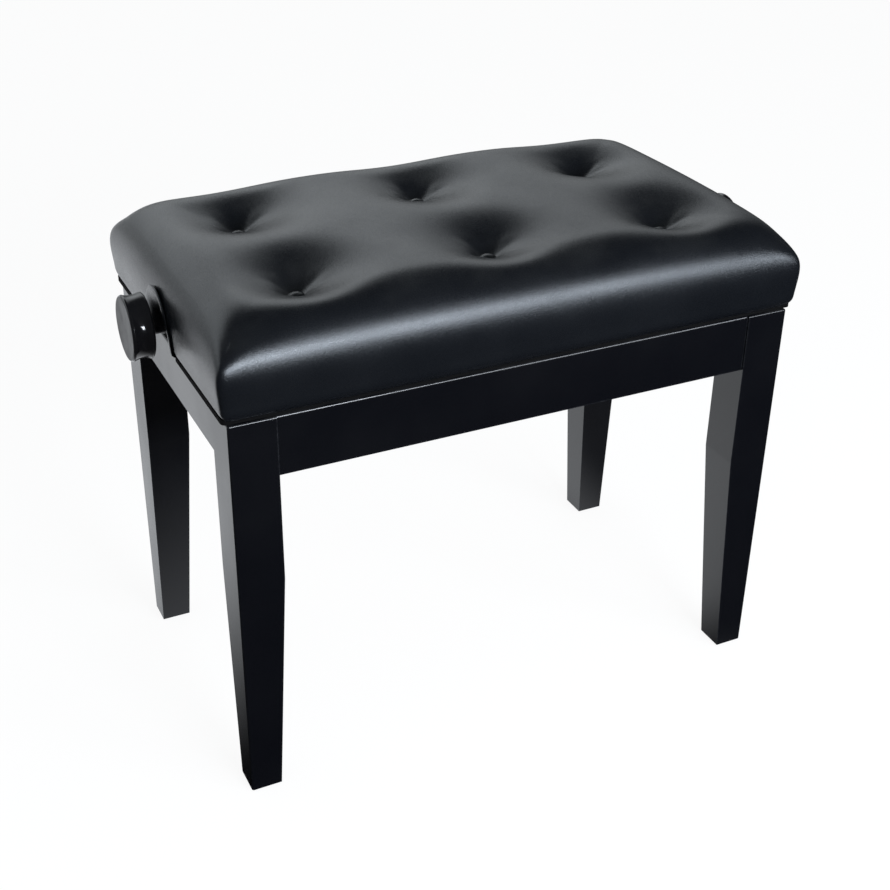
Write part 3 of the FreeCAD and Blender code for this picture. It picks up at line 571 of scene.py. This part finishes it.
def button_seats():
    """The height of each button's underside, read from its own piece."""
    points = mesh_points(nodes["seat_buttons"].data)
    seats = []
    for x, y in button_centres:
        near = np.hypot(points[:, 0] - x, points[:, 1] - y) < 0.012
        seats.append(float(points[near, 2].min()))
    return seats


def dome_height(x, y):
    """The stuffed top before buttoning: the crown, less a cube of the way to the end, less the fourth power
    of the way to the corner. The filling has settled a little more at the back right."""
    u = np.abs(x) / half_length
    v = np.abs(y) / half_width
    settled = settled_drop * np.clip(x / half_length, 0, 1) ** 5 * np.clip(y / half_width + 0.3, 0, 1)
    return crown_top - end_drop * u ** 3 - corner_drop * (u * v) ** 4 - settled


def roll_height(x, y):
    """Where the upright sides end and the roll over the top begins: higher in the middle of each end."""
    u = np.clip(np.abs(x) / half_length, 0.0, 1.0)
    v = np.clip(np.abs(y) / half_width, 0.0, 1.0)
    return long_side_roll + (end_roll - long_side_roll) * u ** 6 * (1 - v ** 2)


def button_pull(x, y):
    """How far the buttons draw the top down: for each, a steep funnel inside a wide shallow bowl."""
    pull = np.zeros_like(x)
    for (bx, by), seat in zip(button_centres, button_seats()):
        depth = dome_height(np.array(bx), np.array(by)) - seat + tie_slack
        apart = np.hypot(x - bx, (y - by) * 0.92)
        funnel = np.exp(-(apart / funnel_reach) ** 2)
        bowl = np.exp(-(apart / bowl_reach) ** 2)
        pull = pull + depth * (funnel_share * funnel + (1 - funnel_share) * bowl)
    return pull


def pleats(x, y):
    """Short radial folds into each button: a cosine of the angle, strongest a button's width out."""
    fold = np.zeros_like(x)
    for number, (bx, by) in enumerate(button_centres):
        apart = np.hypot(x - bx, y - by)
        angle = np.arctan2(y - by, x - bx)
        wobble = 0.35 * np.sin(2 * angle + number) + 0.2 * np.sin(5 * angle + 2.1 * number)
        ridge = np.abs(np.cos(4.5 * angle + wobble + 0.7 * number))
        reach = smooth(apart, 0.008, 0.015) * (1 - smooth(apart, 0.017, 0.036))
        fold = fold + pleat_depth * (ridge - 0.6) * reach
    return fold


def swell(z):
    """How far the sides stand out at this height: tucked in at the hem, upright, then a slow bulge."""
    tuck = hem_tuck * (1 - smooth(z, seat_bottom, seat_bottom + hem_height))
    return side_bulge * smooth(z, seat_bottom + hem_height, long_side_roll) - tuck


def edge_distance(x, y, z, corner):
    """Distance in from the cover's outline, as a soft minimum that rounds the corners."""
    dx = skin_x + swell(z) - np.abs(x)
    dy = skin_y + swell(z) - np.abs(y)
    low = np.minimum(dx, dy)
    return low - corner * np.log(np.exp(-(dx - low) / corner) + np.exp(-(dy - low) / corner))


def into_outline(x, y, z, corner):
    """Unit vector that points in from the outline, from finite differences of the edge distance."""
    step = 1e-5
    gx = edge_distance(x + step, y, z, corner) - edge_distance(x - step, y, z, corner)
    gy = edge_distance(x, y + step, z, corner) - edge_distance(x, y - step, z, corner)
    size = np.hypot(gx, gy) + 1e-12
    return gx / size, gy / size


def stuffed_shape(points):
    """Bends a plain block into the cushion: straight sides, a quarter-round roll, and the buttoned dome."""
    x, y, z = points.T.copy()
    highest = points[:, 2].max()
    plain = np.minimum(skin_x - np.abs(x), skin_y - np.abs(y))
    corner = low_corner + (high_corner - low_corner) * smooth(z, side_top, 0.472)
    top = dome_height(x, y)
    roll_start = roll_height(x, y)
    roll_radius = top - roll_start
    z = z + (top - highest) * smooth(z, 0.430, highest)
    out = np.clip(roll_radius - plain, 0.0, None)
    up = np.clip(z - roll_start, 0.0, None)
    turn = np.arctan2(up, out)
    rolled = (out > 0) & (up > 0)
    want = np.where(rolled, roll_radius * (1 - np.cos(turn)), np.where(up > 0, plain, 0.0))
    z = np.where(rolled, roll_start + roll_radius * np.sin(turn), z)
    for _ in range(3):
        have = edge_distance(x, y, z, corner)
        nx, ny = into_outline(x, y, z, corner)
        fade = 1 - smooth(plain, roll_radius, 2 * roll_radius)
        side = np.where(plain < 2 * roll_radius, fade, 0.0)
        x = x + nx * (want - have) * side
        y = y + ny * (want - have) * side
    over = smooth(z, roll_start + 0.3 * roll_radius, roll_start + 0.9 * roll_radius)
    z = z - button_pull(x, y) * over * smooth(edge_distance(x, y, z, corner), 0.0, 0.045)
    return np.stack([x, y, z], axis=1)


def plain_block():
    """A closed block of small quads, a little smaller than the cover."""
    corners = [(x, y, z) for x in (-skin_x, skin_x) for y in (-skin_y, skin_y)
               for z in (seat_bottom, block_top)]
    faces = [(0, 1, 3, 2), (4, 6, 7, 5), (0, 4, 5, 1), (2, 3, 7, 6), (0, 2, 6, 4), (1, 5, 7, 3)]
    mesh = bpy.data.meshes.new("cushion_block")
    mesh.from_pydata(corners, [], faces)
    block = bpy.data.objects.new("cushion_cover", mesh)
    bpy.context.scene.collection.objects.link(block)
    remesh = block.modifiers.new("even_quads", "REMESH")
    remesh.mode = "VOXEL"
    remesh.voxel_size = voxel
    return block


def bake_modifiers(piece):
    """Puts the result of a piece's modifiers into its own mesh, and removes them."""
    evaluated = piece.evaluated_get(bpy.context.evaluated_depsgraph_get())
    mesh = bpy.data.meshes.new_from_object(evaluated)
    piece.modifiers.clear()
    piece.data = mesh


def set_points(mesh, points):
    mesh.vertices.foreach_set("co", points.astype(np.float32).ravel())
    mesh.update()


def end_arch_distance(points):
    """Distance from the arch's centre line on a seat end: round above the spindle, straight below it."""
    above = np.maximum(points[:, 2] - spindle_z, 0.0)
    return np.hypot(points[:, 1], above)


def pinned_share(points):
    """1 where the leather is tacked or tied: the lower edge, round the end arches and under each button."""
    share = 1 - smooth(points[:, 2], 0.408, 0.440)
    on_end = np.abs(points[:, 0]) > half_length - 0.012
    arch = (1 - smooth(end_arch_distance(points), 0.035, 0.048)) * on_end
    share = np.maximum(share, arch)
    for x, y in button_centres:
        near = np.hypot(points[:, 0] - x, points[:, 1] - y)
        high = points[:, 2] > 0.44
        share = np.maximum(share, (1 - smooth(near, 0.0085, 0.0105)) * high)
    return share


def stuff(cover):
    """Blows the skin up as cloth, held where it is tacked and tied, and keeps a capped share of the swelling."""
    before = mesh_points(cover.data)
    group = cover.vertex_groups.new(name="tacked")
    share = pinned_share(before)
    levels = np.round(share * pin_levels).astype(int)
    for level in range(1, pin_levels + 1):
        group.add(np.nonzero(levels == level)[0].tolist(), level / pin_levels, "REPLACE")
    cloth = cover.modifiers.new("leather_skin", "CLOTH")
    skin = cloth.settings
    skin.quality = 6
    skin.mass = 0.35
    skin.tension_stiffness = 25
    skin.compression_stiffness = 12
    skin.shear_stiffness = 12
    skin.bending_stiffness = 1.2
    skin.shrink_min = -0.02
    skin.use_pressure = True
    skin.uniform_pressure_force = 3.5
    skin.vertex_group_mass = "tacked"
    skin.pin_stiffness = 2.0
    skin.effector_weights.gravity = 0
    cloth.collision_settings.use_collision = False
    cloth.point_cache.frame_start = 1
    cloth.point_cache.frame_end = cloth_frames
    scene = bpy.context.scene
    for number in range(1, cloth_frames + 1):
        scene.frame_set(number)
    bake_modifiers(cover)
    scene.frame_set(1)
    cover.vertex_groups.clear()
    move = mesh_points(cover.data) - before
    most = np.where(before[:, 2] > side_top, most_top_swell, most_side_swell) * (1 - share)
    size = np.linalg.norm(move, axis=1) + 1e-9
    keep = most * np.tanh(size / np.maximum(most, 1e-6)) / size
    set_points(cover.data, before + move * keep[:, None])


def drop_hidden_faces(mesh):
    """Removes the faces behind each end arch's roll, and the underside inside the turned-in hem."""
    work = bmesh.new()
    work.from_mesh(mesh)
    gone = []
    for face in work.faces:
        centre = face.calc_center_median()
        from_end = half_length - abs(centre.x)
        from_edge = min(from_end, half_width - abs(centre.y))
        underside = centre.z < seat_bottom + 0.004
        arch = math.hypot(centre.y, max(centre.z - spindle_z, 0.0))
        behind_roll = from_end < 0.008 and arch < notch_hidden_radius
        notch_floor = underside and from_end < 0.03 and abs(centre.y) < notch_hidden_radius
        if behind_roll or notch_floor or (underside and from_edge > lip_width):
            gone.append(face)
    bmesh.ops.delete(work, geom=gone, context="FACES")
    work.to_mesh(mesh)
    work.free()


cover = plain_block()
bake_modifiers(cover)
set_points(cover.data, stuffed_shape(mesh_points(cover.data)))
stuff(cover)
shape = mesh_points(cover.data)
shape[:, 2] += pleats(shape[:, 0], shape[:, 1]) * (shape[:, 2] > side_top)
set_points(cover.data, shape)
drop_hidden_faces(cover.data)
cover.data.materials.append(leather)
cover.data.polygons.foreach_set("use_smooth", np.ones(len(cover.data.polygons), bool))
finer = cover.modifiers.new("finer", "SUBSURF")
finer.levels = 1
finer.render_levels = 1
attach(cover, "seat")
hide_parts("leather_cover", "foam_pad", "side_padding")


# ---- Arch rolls in the seat's ends ----
# The leather is cut at each end for the knob's neck, and its edge is rolled over the wood and
# tacked inside, so that it makes a soft arch.
arch_lining_radius = 0.0190
arch_roll_depth = 0.0120
arch_lining_depth = 0.0080
arch_pillow = 0.0011
leather_thickness = 0.0011


def grid_mesh(name, points):
    """A mesh from an array of points, rows by columns, with faces between neighbours."""
    rows, columns = points.shape[:2]
    index = np.arange(rows * columns).reshape(rows, columns)
    around = [index[:-1, :-1], index[:-1, 1:], index[1:, 1:], index[1:, :-1]]
    faces = np.stack(around, axis=-1).reshape(-1, 4)
    mesh = bpy.data.meshes.new(name)
    mesh.from_pydata(points.reshape(-1, 3).tolist(), [], faces.tolist())
    mesh.polygons.foreach_set("use_smooth", np.ones(len(faces), bool))
    mesh.update()
    return mesh


def arch_roll(side):
    """Along the arch, from one foot up over the spindle and down: straight, half circle, straight.
    Across it, a quarter ellipse from the seat's end face in to the wood, then straight along the wood."""
    foot = spindle_z - seat_bottom
    length = 2 * foot + math.pi * arch_lining_radius
    s = np.linspace(0.0, length, 90)[:, None]
    t = np.linspace(0.0, 1.0, 22)[None, :]
    roll = np.clip(t / 0.7, 0.0, 1.0) * math.pi / 2
    radius = notch_outer_radius - (notch_outer_radius - arch_lining_radius) * np.sin(roll) + 0.0 * s
    depth = arch_roll_depth * (1 - np.cos(roll)) + arch_lining_depth * np.clip((t - 0.7) / 0.3, 0.0, 1.0)
    gathers = 1 - 0.2 * np.cos(9 * math.pi * s / length)
    pillow = arch_pillow * np.sin(np.clip(t / 0.55, 0, 1) * math.pi) * gathers
    angle = np.clip((s - foot) / arch_lining_radius, 0.0, math.pi) + 0.0 * t
    below = np.where(s < foot, s - foot, np.where(s > length - foot, length - foot - s, 0.0)) + 0.0 * t
    y = -radius * np.cos(angle)
    z = spindle_z + radius * np.sin(angle) + below
    x = side * (half_length - 0.0010 + swell(z) - depth + pillow)
    points = np.stack([x, y, z], axis=-1)
    return points if side < 0 else points[::-1]


for name, side in (("left", -1), ("right", 1)):
    roll = bpy.data.objects.new("arch_roll_" + name, grid_mesh("arch_roll_" + name, arch_roll(side)))
    bpy.context.scene.collection.objects.link(roll)
    roll.data.materials.append(leather)
    skin = roll.modifiers.new("skin", "SOLIDIFY")
    skin.thickness = leather_thickness
    skin.offset = -1.0
    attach(roll, "seat")

wear_material(leather, "seat_buttons")


# ---- Lining band ----
# A narrow band of black cotton canvas, tacked over the leather's raw edge all round the underside.
# It stands back under the hem and stops short of the notch at each end.
band_half_x = half_length - 0.0028
band_half_y = half_width - 0.0062
band_corner = 0.0045
band_thickness = 0.0025
band_low = seat_bottom - 0.0014
band_high = seat_bottom + 0.0036
thread_width = 0.0004


def black_lining():
    """Plain-woven black cotton, tacked over the leather's raw edge."""
    material, tree, shader = new_material("black_lining")
    place = object_place(tree)
    axes = add(tree, "ShaderNodeSeparateXYZ", None, {0: place}).outputs
    warp = maths(tree, "PINGPONG", maths(tree, "ADD", axes["X"], axes["Y"]), thread_width)
    weft = maths(tree, "PINGPONG", axes["Z"], thread_width)
    warp_height = maths(tree, "DIVIDE", warp, thread_width)
    weave = maths(tree, "MULTIPLY", warp_height, maths(tree, "DIVIDE", weft, thread_width))
    # Painted highlight and shade: the cloth is lighter on the crown of each thread crossing and darker between
    # the threads.
    colour = mix_colour(tree, weave, (0.0015, 0.0015, 0.0018, 1), (0.006, 0.006, 0.0065, 1))
    link(tree, colour, shader, "Base Color")
    shader.inputs["Roughness"].default_value = 0.95
    shader.inputs["Specular IOR Level"].default_value = 0.1
    bump(tree, shader, weave, 0.0002, 0.6)
    return material


def band_path(inset):
    """Half the way round, from the left notch along the front to the right notch, with rounded corners."""
    turn = np.linspace(0.0, math.pi / 2, 9)
    x = band_half_x - inset
    y = band_half_y - inset
    radius = band_corner - inset
    notch = -notch_outer_radius
    left = [(-x + radius - radius * np.cos(turn)), (-y + radius - radius * np.sin(turn))]
    right = [-left[0][::-1], left[1][::-1]]
    along = np.concatenate([[-x], left[0], right[0], [x]])
    across = np.concatenate([[notch], left[1], right[1], [notch]])
    return along, across


def lining_band():
    """Two closed bars, front and back: at each step of the path, a four-cornered cross-section."""
    outer = band_path(0.0)
    inner = band_path(band_thickness)
    count = len(outer[0])
    sections = [(outer, band_low), (outer, band_high), (inner, band_high), (inner, band_low)]
    front = np.stack([np.stack([path[0], path[1], np.full(count, z)], 1) for path, z in sections], 1)
    points = np.concatenate([front, front * (-1, -1, 1)]).reshape(-1, 3)
    faces = []
    for first in (0, 4 * count):
        for step in range(count - 1):
            here = first + 4 * step
            for k, after in ((0, 1), (1, 2), (2, 3), (3, 0)):
                faces.append((here + k, here + 4 + k, here + 4 + after, here + after))
        last = first + 4 * (count - 1)
        faces += [(first, first + 1, first + 2, first + 3), (last + 3, last + 2, last + 1, last)]
    mesh = bpy.data.meshes.new("lining_band")
    mesh.from_pydata(points.tolist(), [], faces)
    mesh.update()
    return mesh


band = bpy.data.objects.new("lining_band", lining_band())
bpy.context.scene.collection.objects.link(band)
band.data.materials.append(black_lining())
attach(band, "seat")


# ---- Floor ----
# A plain pale studio sweep. Only its look matters: it is bright where it lies behind the bench and
# falls off in front, so that lacquered faces turned to the front stay deep.
floor_mesh = bpy.data.meshes.new("floor")
floor_mesh.from_pydata([(-6, -6, 0), (6, -6, 0), (6, 6, 0), (-6, 6, 0)], [], [(0, 1, 2, 3)])
floor = bpy.data.objects.new("floor", floor_mesh)
bpy.context.scene.collection.objects.link(floor)


def studio_floor():
    """Pale to the eye and to soft light; a shiny face sees it bright behind the bench and dark in front."""
    material, tree, shader = new_material("studio_floor")
    shader.inputs["Base Color"].default_value = (0.9, 0.9, 0.9, 1)
    shader.inputs["Roughness"].default_value = 0.9
    shader.inputs["Specular IOR Level"].default_value = 0.0
    axes = add(tree, "ShaderNodeSeparateXYZ", None, {0: object_place(tree)}).outputs
    slant = maths(tree, "ADD", axes["Y"], maths(tree, "MULTIPLY", axes["X"], 0.5))
    glow = remap(tree, slant, -0.28, 0.15, 0.02, 1.05)
    glow = maths(tree, "MULTIPLY", glow, remap(tree, axes["Y"], -0.20, -0.06, 0.0, 1.0))
    glow = maths(tree, "MULTIPLY", glow, remap(tree, axes["X"], 0.22, 0.34, 1.0, 0.1))
    lit = add(tree, "ShaderNodeEmission", None, {"Color": (0.93, 0.96, 1.0, 1), "Strength": glow})
    white = add(tree, "ShaderNodeEmission", None, {"Color": (1, 1, 1, 1), "Strength": 1.03})
    path = add(tree, "ShaderNodeLightPath").outputs
    seen = add(tree, "ShaderNodeMixShader", None, {0: 0.88})
    tree.links.new(shader.outputs[0], seen.inputs[1])
    tree.links.new(white.outputs[0], seen.inputs[2])
    either = add(tree, "ShaderNodeMixShader", None, {0: path["Is Glossy Ray"]})
    tree.links.new(seen.outputs[0], either.inputs[1])
    tree.links.new(lit.outputs[0], either.inputs[2])
    out = [node for node in tree.nodes if node.type == "OUTPUT_MATERIAL"][0]
    tree.links.new(either.outputs[0], out.inputs[0])
    material.cycles.emission_sampling = "NONE"
    return material


floor_mesh.materials.append(studio_floor())


# ---- Studio light ----
# A bright wall behind and to the left, a dark ceiling and front, and two long soft boxes in
# front, which draw the line of light along the cushion's rolled edge.
def studio_world():
    world = bpy.data.worlds.new("studio")
    bpy.context.scene.world = world
    world.use_nodes = True
    tree = world.node_tree
    tree.nodes.clear()
    direction = add(tree, "ShaderNodeTexCoord").outputs["Generated"]
    axes = add(tree, "ShaderNodeSeparateXYZ", None, {0: direction}).outputs
    behind = maths(tree, "MULTIPLY", axes["Y"], 0.90)
    lean = maths(tree, "ADD", behind, maths(tree, "MULTIPLY", axes["X"], -0.30))
    wall = remap(tree, lean, 0.15, 0.80, 0.0, 1.0)
    below_ceiling = remap(tree, axes["Z"], 0.50, 0.74, 1.0, 0.0)
    above_skirting = remap(tree, axes["Z"], 0.05, 0.48, 0.30, 1.0)
    bright = maths(tree, "MULTIPLY", maths(tree, "MULTIPLY", wall, below_ceiling), above_skirting)
    glossy = remap(tree, bright, 0.0, 1.0, 0.035, 1.55, False)
    path = add(tree, "ShaderNodeLightPath").outputs
    blend = {"data_type": "FLOAT"}
    level = add(tree, "ShaderNodeMix", blend, {0: path["Is Glossy Ray"], 2: 0.55, 3: glossy}).outputs[0]
    level = add(tree, "ShaderNodeMix", blend, {0: path["Is Camera Ray"], 2: level, 3: 1.0}).outputs[0]
    shine = add(tree, "ShaderNodeBackground", None, {"Color": (0.95, 1.0, 1.03, 1), "Strength": level})
    out = add(tree, "ShaderNodeOutputWorld")
    tree.links.new(shine.outputs[0], out.inputs[0])


studio_world()


def soft_box(name, place, aim, size, power):
    light = bpy.data.lights.new(name, "AREA")
    light.shape = "RECTANGLE"
    light.size, light.size_y = size
    light.energy = power
    light.color = (0.86, 0.92, 1.0)
    box = bpy.data.objects.new(name, light)
    bpy.context.scene.collection.objects.link(box)
    box.location = place
    box.rotation_euler = (Vector(aim) - Vector(place)).to_track_quat("-Z", "Y").to_euler()
    box.visible_camera = False


soft_box("front_box", (0.25, -2.15, 1.06), (-0.1, -0.1, 0.45), (0.85, 0.42), 41)
soft_box("right_box", (1.15, -1.80, 1.05), (0.1, -0.1, 0.45), (1.00, 0.46), 21)


# ---- Camera ----
# In front of the bench's left end and above it, with a slightly long lens, so that the front,
# the left end and the whole top are seen.
camera_place = (-0.5742, -1.1594, 0.9767)
camera_azimuth = math.radians(-26.25)
camera_elevation = math.radians(30.07)
camera_roll = math.radians(0.90)
camera_data = bpy.data.cameras.new("camera")
camera_data.lens = 58.70
camera_data.sensor_width = 36.0
camera = bpy.data.objects.new("camera", camera_data)
bpy.context.scene.collection.objects.link(camera)
back = Vector((math.sin(camera_azimuth) * math.cos(camera_elevation),
               -math.cos(camera_azimuth) * math.cos(camera_elevation), math.sin(camera_elevation)))
level = (-back).cross(Vector((0, 0, 1))).normalized()
upright = level.cross(-back)
right = math.cos(camera_roll) * level + math.sin(camera_roll) * upright
up = -math.sin(camera_roll) * level + math.cos(camera_roll) * upright
turn = Matrix((right, up, back)).transposed()
camera.matrix_world = Matrix.Translation(camera_place) @ turn.to_4x4()
bpy.context.scene.camera = camera
bpy.context.scene.view_settings.view_transform = "Standard"
